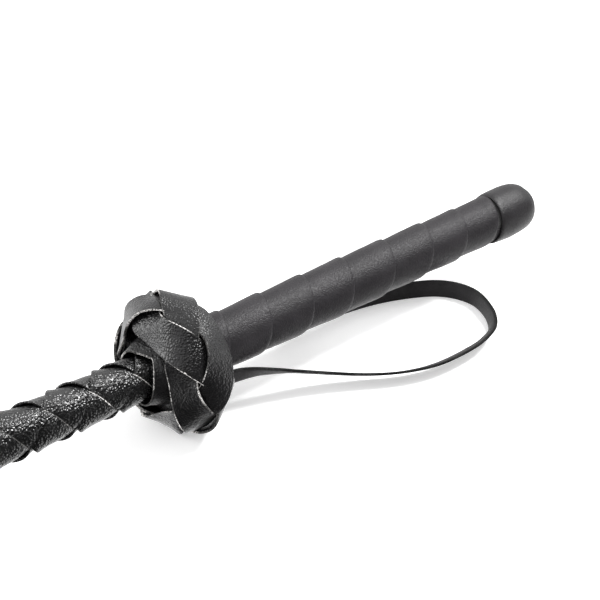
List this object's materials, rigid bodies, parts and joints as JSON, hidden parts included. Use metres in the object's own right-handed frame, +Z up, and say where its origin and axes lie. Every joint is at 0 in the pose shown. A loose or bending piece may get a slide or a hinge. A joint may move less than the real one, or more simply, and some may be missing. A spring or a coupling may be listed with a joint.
{
  "type": "riding crop",
  "caption": "Black leather riding crop: spiral-wrapped handle with a capped butt, woven knot, wrist strap loop, plaited tapering shaft and a flat leather keeper.",
  "frame": {"origin": "centre of the cylindrical band of the butt cap, on the crop's axis", "axes": "+X along the crop towards the keeper, +Z up as the crop lies with the keeper flat and the wrist strap's loop on the surface below"},
  "size_m": [0.742, 0.0816, 0.063],
  "materials": {
    "handle_leather": "satin, fine grain",
    "cap_leather": "satin, fine grain",
    "knot_leather": "satin, pebbled grain",
    "plait_leather": "semi-gloss, pebbled grain",
    "strap_leather": "matte",
    "keeper_leather": "satin, pebbled grain",
    "thread": "waxed thread",
    "padding": "dense felt and cord",
    "belly": "matte",
    "core_plastic": "moulded",
    "fibreglass": "pultruded rod"
  },
  "bodies": {
    "crop": {"core_rod": "fibreglass", "handle_tube": "core_plastic", "rod_bush_front": "core_plastic", "rod_bush_rear": "core_plastic", "butt_plug": "core_plastic", "handle_padding": "padding", "handle_wrap": "handle_leather", "butt_cap": "cap_leather", "knot_core": "padding", "knot_strap": "knot_leather", "wrist_strap_tails": "strap_leather", "shaft_belly": "belly", "strand_binding": "thread", "shaft_collar": "knot_leather", "shaft_strand_1": "plait_leather", "shaft_strand_2": "plait_leather", "shaft_strand_3": "plait_leather", "shaft_strand_4": "plait_leather", "tip_cap": "core_plastic", "tip_whipping": "thread", "keeper_neck": "keeper_leather"},
    "wrist_loop": {"wrist_strap": "strap_leather"},
    "keeper": {"keeper_tongue": "keeper_leather", "keeper_stitching": "thread"}
  },
  "joints": [
    {"name": "wrist_loop_swing", "type": "hinge", "parent": "crop", "child": "wrist_loop", "pos_m": [0.191, 0, -0.014], "axis": [0, 1, 0], "range_deg": [-90, 0]},
    {"name": "keeper_flex", "type": "hinge", "parent": "crop", "child": "keeper", "pos_m": [0.66, 0, 0], "axis": [0, 1, 0], "range_deg": [-60, 60], "stiffness_Nm_per_rad": 0.05}
  ]
}
